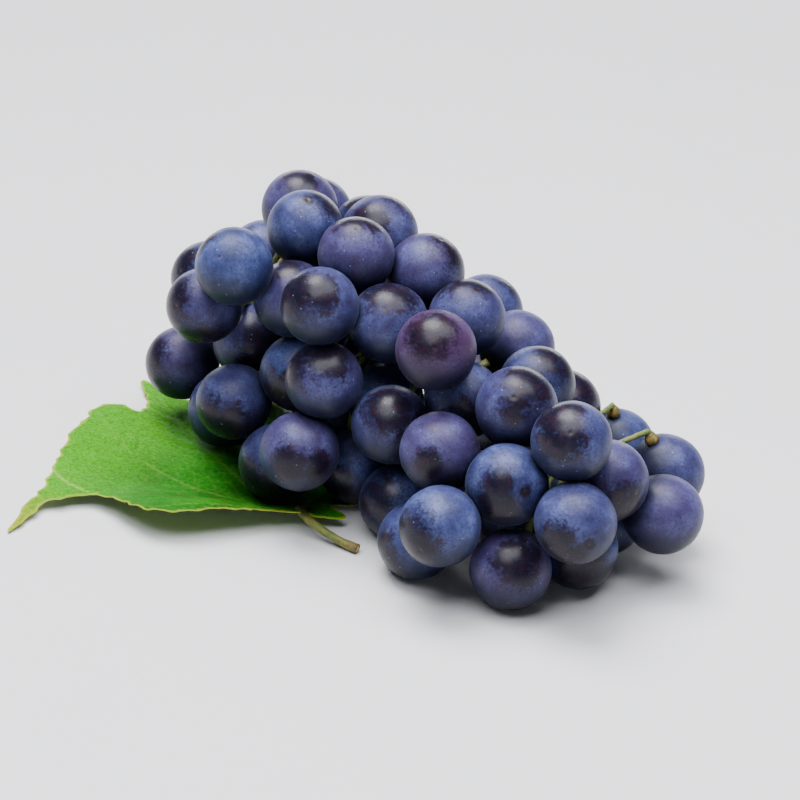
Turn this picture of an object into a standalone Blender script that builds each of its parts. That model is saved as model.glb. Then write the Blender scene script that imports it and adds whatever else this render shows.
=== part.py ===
"""A bunch of round dark grapes lying on its side on a vine leaf.

Metres, +Z up. The bunch lies along X with its shoulder at -X and its tip at +X. The origin is at
the middle of the bounding box, on the surface that the bunch lies on.
"""

import math

import bmesh
import bpy
import numpy as np
from mathutils import Matrix, Vector

MM = 0.001

# Berries
BERRY_DIAMETER = 21.2 * MM
LISTED_DIAMETER = 21.2 * MM  # the berry that the places below are listed for; they spread with it
BERRY_SIZE_SPREAD = 0.025  # share of the diameter, each way
BERRY_GAP = 0.3 * MM  # between the true spheres of two berries
JOINED_STEP = 0.91  # centre distance of joined berries, as a share of touching
SEED = 7

# Stalks
PEDUNCLE_DIAMETER = 5.0 * MM
RACHIS_TIP_DIAMETER = 2.2 * MM
PEDICEL_DIAMETER = 1.7 * MM
RECEPTACLE_DIAMETER = 3.6 * MM
RECEPTACLE_LENGTH = 2.4 * MM
STALK_GAP = 0.3 * MM  # between a stalk and any berry
RACHIS_SIDES = 7
RACHIS_JOINTS = 13
CUT_SWELL = 1.25  # the knob at the peduncle's cut end, over the peduncle
STALK_SIDES = 5
PEDICEL_FOOT = 1.3  # the pedicel's width where it leaves the rachis, over its own
PEDICEL_NECK = 1.1  # and just before the receptacle
PEDICEL_JOINTS = 4  # bends between the rachis and a berry
PEDICEL_SWEEP = 7.0 * MM  # how far nearer the shoulder than its berry a pedicel leaves the rachis
PEDICEL_LEANS = (0, 20, 38, 56, 74)  # degrees off the straight way in that are tried
LEAN_TURNS = 8  # sides that each lean is tried from
LEAN_PRICE = 0.05 * MM  # added to a way's length for each degree of lean
CROWDING_PRICE = 200  # length that one unit of overlap counts as
ROUTE_ROUNDS = 160
SMOOTHING_ROUNDS = 140  # of those, the ones that also even out the bends
SMOOTHING_SHARE = 0.3
CLEARING_SHARE = 0.8  # of the way out of a berry, each round
STRETCH_LOOKS = 9  # points that are looked at along each stretch of a way
STALK_LOOKS = 120  # along the rachis and the peduncle together
TOP_STALK_WAY = (-0.35, 0.05, 0.93)  # how a stalk from above leaves its berry
TOP_STALK_LEAN = 20

# Bunch
RACHIS_HEIGHT = 40.0 * MM  # above the surface, at x = 0
RACHIS_SLOPE = -0.13  # height lost for each unit along X
RACHIS_DROOP = -1.3  # 1/m, how the slope steepens to the tip
RACHIS_START = -64.0 * MM
RACHIS_END = 52.0 * MM

# Settling the berries
SETTLE_ROUNDS = 1500
DRAWN_ROUNDS = 900  # of those, the first ones, which also draw each berry to its listed place
DRAW_STEP = 0.03
PUSH_STEP = 0.25

# Colours, linear, with their roughness
GRAPE_SKIN = ((0.055, 0.06, 0.16), 0.42)
GRAPE_STALK = ((0.30, 0.28, 0.09), 0.6)
LEAF_BLADE = ((0.09, 0.30, 0.02), 0.5)

# Leaf
LEAF_SPAN = 126.0 * MM  # between the tips of its two widest lobes
LISTED_SPAN = 126.0 * MM  # the span that the outline below is listed for
LEAF_THICKNESS = 0.6 * MM
LEAF_LIFT = 10.0 * MM  # how far the front edge stands off the surface
LIFT_AT_ENDS = 0.45  # of the front edge's lift, what is left at its two ends
LEAF_RIPPLE = 4.5 * MM  # how far the open side's edge waves
RIPPLE_FROM = 0.375  # share of the way from the middle to the edge where the waves begin
RIPPLE_SIDE = 9.0 * MM  # past the middle along X, where the waves have died away
RIPPLE_FADE = 30.0 * MM  # the way over which they do
RIPPLE_WAVES = 3  # round the whole edge
RIPPLE_TURN = -2.1  # radians, where the first wave stands
LEAF_GAP = 0.35 * MM  # between the leaf and a berry on it
LEAF_MARGIN = 0.25  # of a berry: how far past the leaf's edge a berry still rests on it
PRESSED_SHARE = 0.85  # of a berry's radius, within which it presses the leaf flat
LEAF_SPRING = 0.7  # how steeply the leaf comes up again beyond that
PETIOLE_DIAMETER = 2.4 * MM
PETIOLE_SIDES = 7
PETIOLE_FOOT = 1.2  # the width of its cut end, over its own

# Berries that lie apart, tier by tier: place along X and distance from the rachis in mm, then the
# turn about it in degrees, 0 straight up and positive towards +Y.
TIERS = {
    "shoulder_end": [(-79, 28, -145), (-74, 17, 85), (-69, 19, -65), (-68, 34, 95)],
    "shoulder_left": [(-64, 31, 55), (-59, 38, -150), (-56, 35, -75), (-56, 28, 15), (-54, 17, -120)],
    "shoulder_right": [(-48, 34, 97), (-41, 38, -122), (-44, 44, -55), (-43, 30, 50), (-42, 30, -15)],
    "upper_left": [(-35, 25, -55), (-30, 24, -105), (-28, 29, 20), (-28, 43, -128), (-27, 28, -170)],
    "upper_right": [(-24, 27, 95), (-21, 32, -20), (-16, 39, -55), (-15, 44, -115), (-12, 34, -85)],
    "middle_left": [(-10, 35, -150), (-8, 26, 10), (-8, 14, -140), (-5, 23, -40), (-4, 32, 80)],
    "middle_right": [(3, 26, 120), (8, 24, -100), (10, 37, -140), (12, 23, -5), (14, 23, 75)],
    "lower_left": [(17, 30, -45), (20, 11, -70), (27, 29, -90), (26, 45, -125), (32, 21, 95)],
    "lower_right": [(33, 12, 25), (40, 47, -100), (39, 21, -45), (45, 36, 110), (48, 29, -85)],
    "tail": [(54, 37, -121), (57, 21, 150), (60, 28, -45), (62, 19, -145), (65, 27, 100)],
    "tip": [(66, 9, -45), (68, 27, -80), (75, 9, 105)],
}
# The two berries near the tip whose stalks reach them from above.
STALK_ON_TOP = [(45, 36, 110), (65, 27, 100)]

# Berries pressed together in short rows low at the back and underneath. Each row is one piece:
# the first berry's X, then how many, then the row's Y and height at its two ends, in mm.
ROWS = {
    "back_row_shoulder": (-74, 3, (33, 22), (35, 20)),
    "back_row_tail": (-13, 3, (36, 17), (37, 12)),
    "base_row_shoulder": (-70, 3, (13, 12), (14, 12)),
    "base_row_middle": (-9, 3, (14, 12), (15, 12)),
    "base_row_tail": (20, 2, (-6, 12), (-8, 12)),
    "core_row_shoulder": (-84, 4, (8, 26), (12, 31)),
}

# The leaf's outline about its middle, in mm, anticlockwise from the tip of its front lobe. The
# petiole joins at the ninth point.
LEAF_MIDDLE = (-46, -38)
LEAF_OUTLINE = [
    (-20, -64), (-13, -43), (-10, -36), (-3, -36), (6, -37), (12, -35), (20, -26), (29, -11),
    (36, -3), (46, 6), (36, 8), (41, 19), (38, 32), (25, 30), (14, 45), (3, 58), (-14, 49),
    (-29, 52), (-35, 36), (-43, 28), (-60, 32), (-42, 20), (-39, 12), (-49, 11), (-51, 1),
    (-45, -14), (-36, -29), (-31, -38), (-29, -49),
]
LEAF_RINGS = (0.2, 0.4, 0.6, 0.8, 1.0)
FRONT_EDGE = [(-12, -40), (12, -33), (31, -14), (46, 4)]  # the lifted edge, about the leaf's middle
FRONT_REACH = 26.0 * MM  # how far the lift carries into the blade
# The petiole from the blade to its cut end: X and Y about the leaf's middle in mm, then how much
# of the way down to the surface it has come.
PETIOLE_ROUTE = [(33, -1, 0.0), (38, -4, 0.05), (43, -4, 0.35), (49, -3, 0.85), (55, -2, 1.0)]

# The cut peduncle past the rachis's first point: X, Y and height above the rachis's own, in mm.
PEDUNCLE_ROUTE = [(-93, 14, -4), (-86, 4, 0), (-76, -2, 1)]


# ---------------------------------------------------------------- places

SPREAD = BERRY_DIAMETER / LISTED_DIAMETER
BERRY_MM = MM * SPREAD
LEAF_MM = MM * LEAF_SPAN / LISTED_SPAN
LEAF_X, LEAF_Y = LEAF_MIDDLE[0] * BERRY_MM, LEAF_MIDDLE[1] * BERRY_MM


def rachis_height(x):
    along = x / SPREAD
    return (RACHIS_HEIGHT + RACHIS_SLOPE * along + RACHIS_DROOP * along * along) * SPREAD


def rachis_point(x):
    return np.array([x, 0.0, rachis_height(x)])


def stalk_line():
    """The peduncle's cut end first, then along the rachis to its tip, as points and radii."""
    points = []
    for x, y, rise in PEDUNCLE_ROUTE:
        place = rachis_point(x * BERRY_MM)
        points.append(place + np.array([0.0, y, rise]) * BERRY_MM)
    for x in np.linspace(RACHIS_START, RACHIS_END, RACHIS_JOINTS):
        points.append(rachis_point(x * SPREAD))
    share = np.linspace(0.0, 1.0, len(points))
    radii = (PEDUNCLE_DIAMETER * (1 - share) + RACHIS_TIP_DIAMETER * share) / 2
    radii[0] *= CUT_SWELL
    return np.array(points), radii


def outer_places():
    """The centre of every berry that lies apart, and whether its stalk comes from above."""
    places, on_top = [], []
    for tier in TIERS.values():
        for along, out, turn in tier:
            angle = math.radians(turn)
            side = np.array([0.0, math.sin(angle), math.cos(angle)])
            places.append(rachis_point(along * BERRY_MM) + side * out * BERRY_MM)
            on_top.append((along, out, turn) in STALK_ON_TOP)
    return places, on_top


def row_places(start, count, first, last):
    """The centres of one row, from its first berry's X, and its Y and height at both ends."""
    step = BERRY_DIAMETER * JOINED_STEP
    places = []
    for i in range(count):
        share = i / (count - 1)
        y = first[0] + (last[0] - first[0]) * share
        z = first[1] + (last[1] - first[1]) * share
        places.append(np.array([start * BERRY_MM + i * step, y * BERRY_MM, z * BERRY_MM]))
    return places


def leaf_reach(dx, dy):
    """How far the leaf's edge is from its middle in the direction of (dx, dy)."""
    outline = np.array(LEAF_OUTLINE) * LEAF_MM
    angles = np.unwrap(np.arctan2(outline[:, 1], outline[:, 0]))
    lengths = np.hypot(outline[:, 0], outline[:, 1])
    angle = np.arctan2(dy, dx)
    angle = angles[0] + np.mod(angle - angles[0], 2 * np.pi)
    return np.interp(angle, np.append(angles, angles[0] + 2 * np.pi), np.append(lengths, lengths[0]))


def on_leaf(places):
    dx = places[:, 0] - LEAF_X
    dy = places[:, 1] - LEAF_Y
    return np.hypot(dx, dy) < leaf_reach(dx, dy) + LEAF_MARGIN * BERRY_DIAMETER


def push_off_stalk(places, radii, line, line_radii):
    """Moves each berry straight out until it clears the rachis and the peduncle."""
    fine = np.linspace(0, len(line) - 1, STALK_LOOKS)
    samples = np.column_stack([np.interp(fine, np.arange(len(line)), line[:, k]) for k in range(3)])
    thick = np.interp(fine, np.arange(len(line)), line_radii)
    away = places[:, None, :] - samples[None, :, :]
    distance = np.linalg.norm(away, axis=2)
    short = radii[:, None] + thick[None, :] + STALK_GAP - distance
    worst = short.argmax(axis=1)
    rows = np.arange(len(places))
    move = np.maximum(short[rows, worst], 0.0)
    direction = away[rows, worst] / distance[rows, worst][:, None]
    return places + direction * move[:, None]


def settled(wanted, radii, links):
    """The berries' centres, pushed apart from where they are wanted until none overlaps."""
    places = np.array(wanted)
    first, second = np.triu_indices(len(places), 1)
    apart = radii[first] + radii[second] + BERRY_GAP
    linked = {pair: i for i, pair in enumerate(zip(first.tolist(), second.tolist()))}
    held = np.zeros(len(first), bool)
    for pair in links:
        held[linked[pair]] = True
    apart[held] = (radii[first] + radii[second])[held] * JOINED_STEP
    line, line_radii = stalk_line()
    for step in range(SETTLE_ROUNDS):
        if step < DRAWN_ROUNDS:
            places += (wanted - places) * DRAW_STEP
        away = places[first] - places[second]
        distance = np.linalg.norm(away, axis=1)
        short = apart - distance
        short[~held] = np.maximum(short[~held], 0.0)
        move = away / distance[:, None] * (short * PUSH_STEP)[:, None]
        np.add.at(places, first, move)
        np.add.at(places, second, -move)
        places = push_off_stalk(places, radii, line, line_radii)
        lying = np.where(on_leaf(places), LEAF_THICKNESS + LEAF_GAP, 0.0)
        places[:, 2] = np.maximum(places[:, 2], radii + lying)
    return places


# ---------------------------------------------------------------- meshes


def material(name, colour, roughness):
    made = bpy.data.materials.new(name)
    made.use_nodes = True
    shader = made.node_tree.nodes["Principled BSDF"]
    shader.inputs["Base Color"].default_value = (*colour, 1.0)
    shader.inputs["Roughness"].default_value = roughness
    return made


def add_object(name, mesh, look, bunch, helper=False):
    obj = bpy.data.objects.new(name, mesh)
    bpy.context.scene.collection.objects.link(obj)
    mesh.materials.append(look)
    mesh.shade_smooth()
    obj.parent = bunch
    if helper:
        obj.hide_render = True
        obj.display_type = "WIRE"
    return obj


def berry_mesh(name, radius):
    mesh = bpy.data.meshes.new(name)
    shape = bmesh.new()
    bmesh.ops.create_icosphere(shape, subdivisions=2, radius=radius)
    shape.to_mesh(mesh)
    shape.free()
    return mesh


def tube_mesh(name, points, radii, sides):
    """A closed tube along the points, with its sides turned as little as the bends allow."""
    mesh = bpy.data.meshes.new(name)
    shape = bmesh.new()
    points = [Vector(p) for p in points]
    rings = []
    across = None
    for i, point in enumerate(points):
        ahead = points[min(i + 1, len(points) - 1)] - points[max(i - 1, 0)]
        ahead.normalize()
        if across is None:
            across = ahead.orthogonal()
        across = (across - ahead * across.dot(ahead)).normalized()
        other = ahead.cross(across)
        ring = []
        for k in range(sides):
            angle = 2 * math.pi * k / sides
            offset = across * math.cos(angle) + other * math.sin(angle)
            ring.append(shape.verts.new(point + offset * radii[i]))
        rings.append(ring)
    for low, high in zip(rings, rings[1:]):
        for k in range(sides):
            following = (k + 1) % sides
            shape.faces.new((low[k], low[following], high[following], high[k]))
    shape.faces.new(list(reversed(rings[0])))
    shape.faces.new(rings[-1])
    bmesh.ops.recalc_face_normals(shape, faces=shape.faces)
    shape.to_mesh(mesh)
    shape.free()
    return mesh


def join_all(base, pieces, name):
    """Makes base one body with the pieces, which stay as hidden helpers."""
    group = bpy.data.collections.new(name + "_pieces")
    bpy.context.scene.collection.children.link(group)
    for piece in pieces:
        bpy.context.scene.collection.objects.unlink(piece)
        group.objects.link(piece)
    union = base.modifiers.new("Union", "BOOLEAN")
    union.operation = "UNION"
    union.operand_type = "COLLECTION"
    union.collection = group
    union.solver = "EXACT"
    return base


# ---------------------------------------------------------------- stalks


def pedicel_routes(places, radii, on_top):
    """A way from the rachis to every berry that clears all the others, as points.

    Several ways are tried for each berry, each meeting it from another side. The points between
    the ends are pushed out of the berries and smoothed in turn. The shortest clear way is kept.
    """
    reach = PEDICEL_DIAMETER / 2 + STALK_GAP * 2
    starts, ends, necks, owners, leans = [], [], [], [], []
    for i, place in enumerate(places):
        x = place[0] - PEDICEL_SWEEP
        start = rachis_point(min(max(x, RACHIS_START * SPREAD), RACHIS_END * SPREAD - MM))
        inward = Vector(start - place).normalized()
        if on_top[i]:
            inward = Vector(TOP_STALK_WAY).normalized()
        side = inward.orthogonal().normalized()
        for lean in PEDICEL_LEANS:
            if on_top[i] and lean > TOP_STALK_LEAN:
                continue
            turns = 1 if lean == 0 else LEAN_TURNS
            for k in range(turns):
                tilt = Matrix.Rotation(math.radians(lean), 3, side)
                spin = Matrix.Rotation(2 * math.pi * k / turns, 3, inward)
                leaving = np.array(spin @ tilt @ inward)
                owners.append(i)
                leans.append(lean)
                starts.append(start)
                ends.append(place + leaving * (radii[i] + STALK_GAP))
                necks.append(place + leaving * (radii[i] + STALK_GAP + RECEPTACLE_LENGTH + reach))
    starts, ends, necks = np.array(starts), np.array(ends), np.array(necks)
    owners, leans = np.array(owners), np.array(leans)
    shares = (np.arange(PEDICEL_JOINTS) + 1) / (PEDICEL_JOINTS + 1)
    middle = starts[:, None, :] + (necks - starts)[:, None, :] * shares[None, :, None]
    for step in range(ROUTE_ROUNDS):
        if step < SMOOTHING_ROUNDS:
            whole = np.concatenate([starts[:, None], middle, necks[:, None]], axis=1)
            smooth = (whole[:, :-2] + whole[:, 2:]) / 2
            middle += (smooth - middle) * SMOOTHING_SHARE
        away = middle[:, :, None, :] - places[None, None, :, :]
        distance = np.linalg.norm(away, axis=3)
        short = radii + reach + STALK_GAP - distance
        move = np.maximum(short, 0.0) / np.maximum(distance, 1e-6)
        middle = middle + (away * move[..., None]).sum(axis=2) * CLEARING_SHARE
    whole = np.concatenate([starts[:, None], middle, necks[:, None], ends[:, None]], axis=1)
    costs = route_costs(whole, places, radii, owners) + leans * LEAN_PRICE
    routes = []
    for i in range(len(places)):
        mine = np.flatnonzero(owners == i)
        best = mine[costs[mine].argmin()]
        routes.append(whole[best])
    return routes


def route_costs(whole, places, radii, owners):
    """Length, plus a heavy price for coming too near a berry anywhere along the way."""
    length = np.linalg.norm(np.diff(whole, axis=1), axis=2).sum(axis=1)
    cost = length.copy()
    for share in np.linspace(0, 1, STRETCH_LOOKS):
        samples = whole[:, :-1] + (whole[:, 1:] - whole[:, :-1]) * share
        distance = np.linalg.norm(samples[:, :, None, :] - places[None, None, :, :], axis=3)
        need = radii + PEDICEL_DIAMETER / 2 + STALK_GAP
        short = np.maximum(need - distance, 0.0)
        # the last stretch meets its own berry
        rows = np.arange(len(whole))
        short[rows, -1, owners] = 0.0
        cost += short.sum(axis=(1, 2)) * CROWDING_PRICE
    return cost


def pedicel_radii():
    thin = PEDICEL_DIAMETER / 2
    ends = [thin * PEDICEL_NECK, RECEPTACLE_DIAMETER / 2]
    return [thin * PEDICEL_FOOT] + [thin] * PEDICEL_JOINTS + ends


def build_stem(places, radii, on_top, look, bunch):
    line, line_radii = stalk_line()
    base = add_object("stem", tube_mesh("stem", line, line_radii, RACHIS_SIDES), look, bunch)
    pieces = []
    for i, route in enumerate(pedicel_routes(places, radii, on_top)):
        mesh = tube_mesh(f"pedicel_{i + 1:02d}", route, pedicel_radii(), STALK_SIDES)
        pieces.append(add_object(mesh.name, mesh, look, bunch, helper=True))
    return join_all(base, pieces, "stem")


# ---------------------------------------------------------------- leaf


def line_distance(x, y, line):
    """The distance from (x, y) to the nearest point of a line of points, and its share along."""
    best, at = 1e9, 0.0
    lengths = [math.dist(a, b) for a, b in zip(line, line[1:])]
    done = 0.0
    for (a, b), length in zip(zip(line, line[1:]), lengths):
        share = ((x - a[0]) * (b[0] - a[0]) + (y - a[1]) * (b[1] - a[1])) / length**2
        share = min(max(share, 0.0), 1.0)
        gap = math.hypot(a[0] + (b[0] - a[0]) * share - x, a[1] + (b[1] - a[1]) * share - y)
        if gap < best:
            best, at = gap, (done + share * length) / sum(lengths)
        done += length
    return best, at


def leaf_top(x, y, places, radii):
    """The height of the leaf's upper face: lifted along its front edge, pressed flat by berries."""
    dx, dy = x - LEAF_X, y - LEAF_Y
    edge = [(a * LEAF_MM, b * LEAF_MM) for a, b in FRONT_EDGE]
    gap, share = line_distance(dx, dy, edge)
    near = max(0.0, 1 - gap / FRONT_REACH)
    lift = LEAF_LIFT * near * near * (3 - 2 * near)
    lift *= LIFT_AT_ENDS + (1 - LIFT_AT_ENDS) * math.sin(math.pi * share)
    ripple = 0.5 + 0.5 * math.sin(RIPPLE_WAVES * math.atan2(dy, dx) + RIPPLE_TURN)
    outward = math.hypot(dx, dy) / leaf_reach(dx, dy)
    rising = min(1.0, max(0.0, (outward - RIPPLE_FROM) / (1 - RIPPLE_FROM)))
    fading = min(1.0, max(0.0, (RIPPLE_SIDE - dx * MM / LEAF_MM) / RIPPLE_FADE))
    lift += LEAF_RIPPLE * ripple * rising * fading
    height = LEAF_THICKNESS + lift
    for place, radius in zip(places, radii):
        beside = math.hypot(place[0] - x, place[1] - y)
        slack = max(0.0, beside - PRESSED_SHARE * radius)
        height = min(height, place[2] - radius - LEAF_GAP + LEAF_SPRING * slack)
    return max(height, LEAF_THICKNESS)


def build_leaf(places, radii, look, bunch):
    mesh = bpy.data.meshes.new("vine_leaf")
    shape = bmesh.new()
    rings = []
    centre = leaf_top(LEAF_X, LEAF_Y, places, radii)
    for ring in LEAF_RINGS:
        corners = []
        for a, b in LEAF_OUTLINE:
            x, y = LEAF_X + a * LEAF_MM * ring, LEAF_Y + b * LEAF_MM * ring
            corners.append((x, y, leaf_top(x, y, places, radii)))
        rings.append(corners)
    faces = []
    for depth, turned in ((0.0, False), (LEAF_THICKNESS, True)):
        hub = shape.verts.new((LEAF_X, LEAF_Y, centre - depth))
        layer = [[shape.verts.new((x, y, z - depth)) for x, y, z in ring] for ring in rings]
        count = len(LEAF_OUTLINE)
        made = []
        for k in range(count):
            following = (k + 1) % count
            made.append((hub, layer[0][k], layer[0][following]))
            for low, high in zip(layer, layer[1:]):
                made.append((low[k], high[k], high[following]))
                made.append((low[k], high[following], low[following]))
        faces.append(layer[-1])
        for corners in made:
            shape.faces.new(tuple(reversed(corners)) if turned else corners)
    top, bottom = faces
    for k in range(len(top)):
        following = (k + 1) % len(top)
        shape.faces.new((top[k], bottom[k], bottom[following], top[following]))
    bmesh.ops.recalc_face_normals(shape, faces=shape.faces)
    shape.to_mesh(mesh)
    shape.free()
    leaf = add_object("vine_leaf", mesh, look, bunch)
    route = petiole_route(places, radii)
    widths = [PETIOLE_DIAMETER / 2] * (len(route) - 1) + [PETIOLE_DIAMETER / 2 * PETIOLE_FOOT]
    tube = tube_mesh("petiole", route, widths, PETIOLE_SIDES)
    petiole = add_object("petiole", tube, look, bunch, helper=True)
    return join_all(leaf, [petiole], "vine_leaf")


def petiole_route(places, radii):
    """From inside the blade down to the surface."""
    x, y = LEAF_X + PETIOLE_ROUTE[0][0] * LEAF_MM, LEAF_Y + PETIOLE_ROUTE[0][1] * LEAF_MM
    top = leaf_top(x, y, places, radii) - LEAF_THICKNESS / 2
    low = PETIOLE_DIAMETER / 2 * PETIOLE_FOOT
    route = []
    for a, b, fallen in PETIOLE_ROUTE:
        route.append((LEAF_X + a * LEAF_MM, LEAF_Y + b * LEAF_MM, top + (low - top) * fallen))
    return route


# ---------------------------------------------------------------- the bunch


def build():
    for obj in list(bpy.data.objects):
        bpy.data.objects.remove(obj)
    skin = material("grape_skin", *GRAPE_SKIN)
    stalk = material("grape_stalk", *GRAPE_STALK)
    blade = material("vine_leaf_blade", *LEAF_BLADE)
    bunch = bpy.data.objects.new("bunch", None)
    bpy.context.scene.collection.objects.link(bunch)

    wanted, on_top = outer_places()
    singles = len(wanted)
    rows, links = {}, []
    for name, row in ROWS.items():
        first = len(wanted)
        wanted += row_places(*row)
        on_top += [False] * row[1]
        rows[name] = range(first, len(wanted))
        links += [(i, i + 1) for i in range(first, len(wanted) - 1)]
    dice = np.random.default_rng(SEED)
    radii = BERRY_DIAMETER / 2 * (1 + dice.uniform(-1, 1, len(wanted)) * BERRY_SIZE_SPREAD)
    places = settled(np.array(wanted), radii, links)

    solids = []
    for i, (place, radius) in enumerate(zip(places, radii)):
        name = f"berry_{i + 1:02d}"
        obj = add_object(name, berry_mesh(name, radius), skin, bunch, helper=i >= singles)
        obj.location = place
        solids.append(obj)
    for name, members in rows.items():
        base = solids[members[0]]
        base.name = name
        base.hide_render = False
        base.display_type = "TEXTURED"
        join_all(base, [solids[i] for i in members[1:]], name)
    build_stem(places, radii, on_top, stalk, bunch)
    build_leaf(places, radii, blade, bunch)
    centre_on_base(bunch)


def centre_on_base(bunch):
    """Moves the bunch so that its box stands on the origin by the middle of its base."""
    bpy.context.view_layer.update()
    low, high = Vector((1e9,) * 3), Vector((-1e9,) * 3)
    for obj in bunch.children:
        for corner in obj.bound_box:
            world = obj.matrix_world @ Vector(corner)
            low = Vector(map(min, low, world))
            high = Vector(map(max, high, world))
    bunch.location = (-(low.x + high.x) / 2, -(low.y + high.y) / 2, -low.z)


build()
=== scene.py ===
import math
import random
import bpy
import numpy as np
from mathutils import Matrix, Vector, noise
from mathutils.bvhtree import BVHTree
from mathutils.geometry import delaunay_2d_cdt


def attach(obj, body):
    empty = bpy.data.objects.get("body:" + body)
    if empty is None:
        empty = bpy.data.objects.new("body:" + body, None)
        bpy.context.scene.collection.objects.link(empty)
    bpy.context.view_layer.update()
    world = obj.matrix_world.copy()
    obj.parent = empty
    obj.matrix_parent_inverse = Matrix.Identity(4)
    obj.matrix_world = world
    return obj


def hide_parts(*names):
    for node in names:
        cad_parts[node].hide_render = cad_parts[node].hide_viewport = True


# A bunch of dark grapes lying on its side, with one vine leaf under its wide end.
# Everything is in metres; mm() turns a size in millimetres into metres.


def mm(size):
    return size / 1000


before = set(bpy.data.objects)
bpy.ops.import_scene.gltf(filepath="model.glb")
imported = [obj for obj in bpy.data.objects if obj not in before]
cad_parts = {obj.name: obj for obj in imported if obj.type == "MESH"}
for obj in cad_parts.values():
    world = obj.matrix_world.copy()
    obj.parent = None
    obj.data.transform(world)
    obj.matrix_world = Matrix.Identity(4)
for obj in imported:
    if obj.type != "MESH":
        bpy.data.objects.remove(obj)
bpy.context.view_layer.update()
print("frame loaded,", len(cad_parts), "nodes")


# ---- small helpers

def linear(hexColour):
    # sRGB hex to the linear values that a shader socket takes
    parts = [int(hexColour[i:i + 2], 16) / 255 for i in (1, 3, 5)]
    return (*[c / 12.92 if c <= 0.04045 else ((c + 0.055) / 1.055) ** 2.4 for c in parts], 1.0)


def perMetre(sizeMm):
    # texture scale for a pattern whose features are this many millimetres across
    return 1000 / sizeMm


def newMaterial(name):
    material = bpy.data.materials.new(name)
    material.use_nodes = True
    material.node_tree.nodes.clear()
    return material


def addNode(tree, kind, settings=None, links=None):
    # settings hold properties, sockets by name or number, and "stops" for a colour ramp
    node = tree.nodes.new("ShaderNode" + kind)
    for name, value in (settings or {}).items():
        if name == "stops":
            ramp = node.color_ramp
            while len(ramp.elements) < len(value):
                ramp.elements.new(0.5)
            for stop, (place, colour) in zip(ramp.elements, value):
                stop.position = place
                stop.color = linear(colour)
        elif isinstance(name, str) and hasattr(node, name):
            setattr(node, name, value)
        else:
            node.inputs[name].default_value = value
    for name, source in (links or {}).items():
        tree.links.new(source, node.inputs[name])
    return node


def vectorsOf(data, kind):
    flat = np.empty(len(data.vertices) * 3)
    data.vertices.foreach_get(kind, flat)
    return flat.reshape(-1, 3)


def cornersOf(name):
    return vectorsOf(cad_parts[name].data, "co")


def meshObject(name, points, faces, material, values=None):
    data = bpy.data.meshes.new(name)
    data.from_pydata([tuple(p) for p in points], [], [tuple(f) for f in faces])
    data.update()
    for valueName, numbers in (values or {}).items():
        layer = data.attributes.new(valueName, "FLOAT", "POINT")
        layer.data.foreach_set("value", np.asarray(numbers, dtype=np.float32))
    data.polygons.foreach_set("use_smooth", [True] * len(data.polygons))
    data.materials.append(material)
    made = bpy.data.objects.new(name, data)
    bpy.context.collection.objects.link(made)
    return made


def smoothStep(low, high, value):
    t = np.clip((value - low) / (high - low), 0, 1)
    return t * t * (3 - 2 * t)


def unit(vector):
    return vector / np.linalg.norm(vector)


def tubeFaces(start, rings, sides):
    # round a tube made of rings of points, and over both of its ends
    faces = []
    for a in range(start, start + (rings - 1) * sides, sides):
        faces += [(a + k, a + (k + 1) % sides, a + sides + (k + 1) % sides, a + sides + k)
                  for k in range(sides)]
    faces.append(tuple(start + k for k in reversed(range(sides))))
    faces.append(tuple(start + (rings - 1) * sides + k for k in range(sides)))
    return faces


# ---- camera, floor and light

camera = {
    "azimuth": 35.0,      # degrees round from the front
    "elevation": 27.0,
    "roll": -5.0,
    "target": (9.8, 13.8, 35.0),   # mm
    "distance": 0.64,     # m, from the target
    "halfWidth": 0.1128,  # m, half of what the view takes in at the target
    "sensor": 36.0,       # mm
}


def addCamera(look):
    a, e, r = [math.radians(look[k]) for k in ("azimuth", "elevation", "roll")]
    back = Vector((math.sin(a) * math.cos(e), -math.cos(a) * math.cos(e), math.sin(e)))
    right = Vector((0, 0, 1)).cross(back).normalized()
    up = back.cross(right)
    rolledRight = right * math.cos(r) - up * math.sin(r)
    rolledUp = up * math.cos(r) + right * math.sin(r)
    data = bpy.data.cameras.new("viewCamera")
    data.sensor_width = look["sensor"]
    data.lens = look["sensor"] / 2 * look["distance"] / look["halfWidth"]
    made = bpy.data.objects.new("viewCamera", data)
    target = Vector([mm(v) for v in look["target"]])
    made.matrix_world = Matrix((rolledRight, rolledUp, back)).transposed().to_4x4()
    made.location = target + back * look["distance"]
    bpy.context.collection.objects.link(made)
    bpy.context.scene.camera = made


# a wide skylight over the bunch, a low window behind it and a weak fill from the front
softboxes = [
    {"name": "skylight", "place": (0.09, -0.13, 0.85), "aim": (0, 0, 0.03), "turn": 35,
     "size": (1.15, 0.6), "watts": 20.0, "colour": "#f6f7ff"},
    {"name": "backWindow", "place": (-0.75, 1.0, 0.22), "aim": (0, 0, 0.04), "turn": 0,
     "size": (1.3, 0.25), "watts": 7.0, "colour": "#f4f7ff"},
    {"name": "frontFill", "place": (0.5, -0.9, 0.35), "aim": (0, 0, 0.03), "turn": 0,
     "size": (0.5, 0.4), "watts": 0.8, "colour": "#eaf0ff"},
]


# even daylight from high up, so that the board stays pale far from the bunch
daylight = {"way": (-0.35, 0.08, 0.9), "spread": 34, "strength": 6.0, "colour": "#fbfaff"}


def addSoftbox(name, place, aim, turn, size, watts, colour):
    data = bpy.data.lights.new(name, "AREA")
    data.shape = "RECTANGLE"
    data.size, data.size_y = size
    data.energy = watts
    data.color = linear(colour)[:3]
    made = bpy.data.objects.new(name, data)
    made.location = place
    swing = Matrix.Rotation(math.radians(turn), 4, "Z")
    down = (Vector(aim) - Vector(place)).to_track_quat("-Z", "Y").to_matrix().to_4x4()
    made.rotation_euler = (swing @ down).to_euler()
    bpy.context.collection.objects.link(made)


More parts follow.
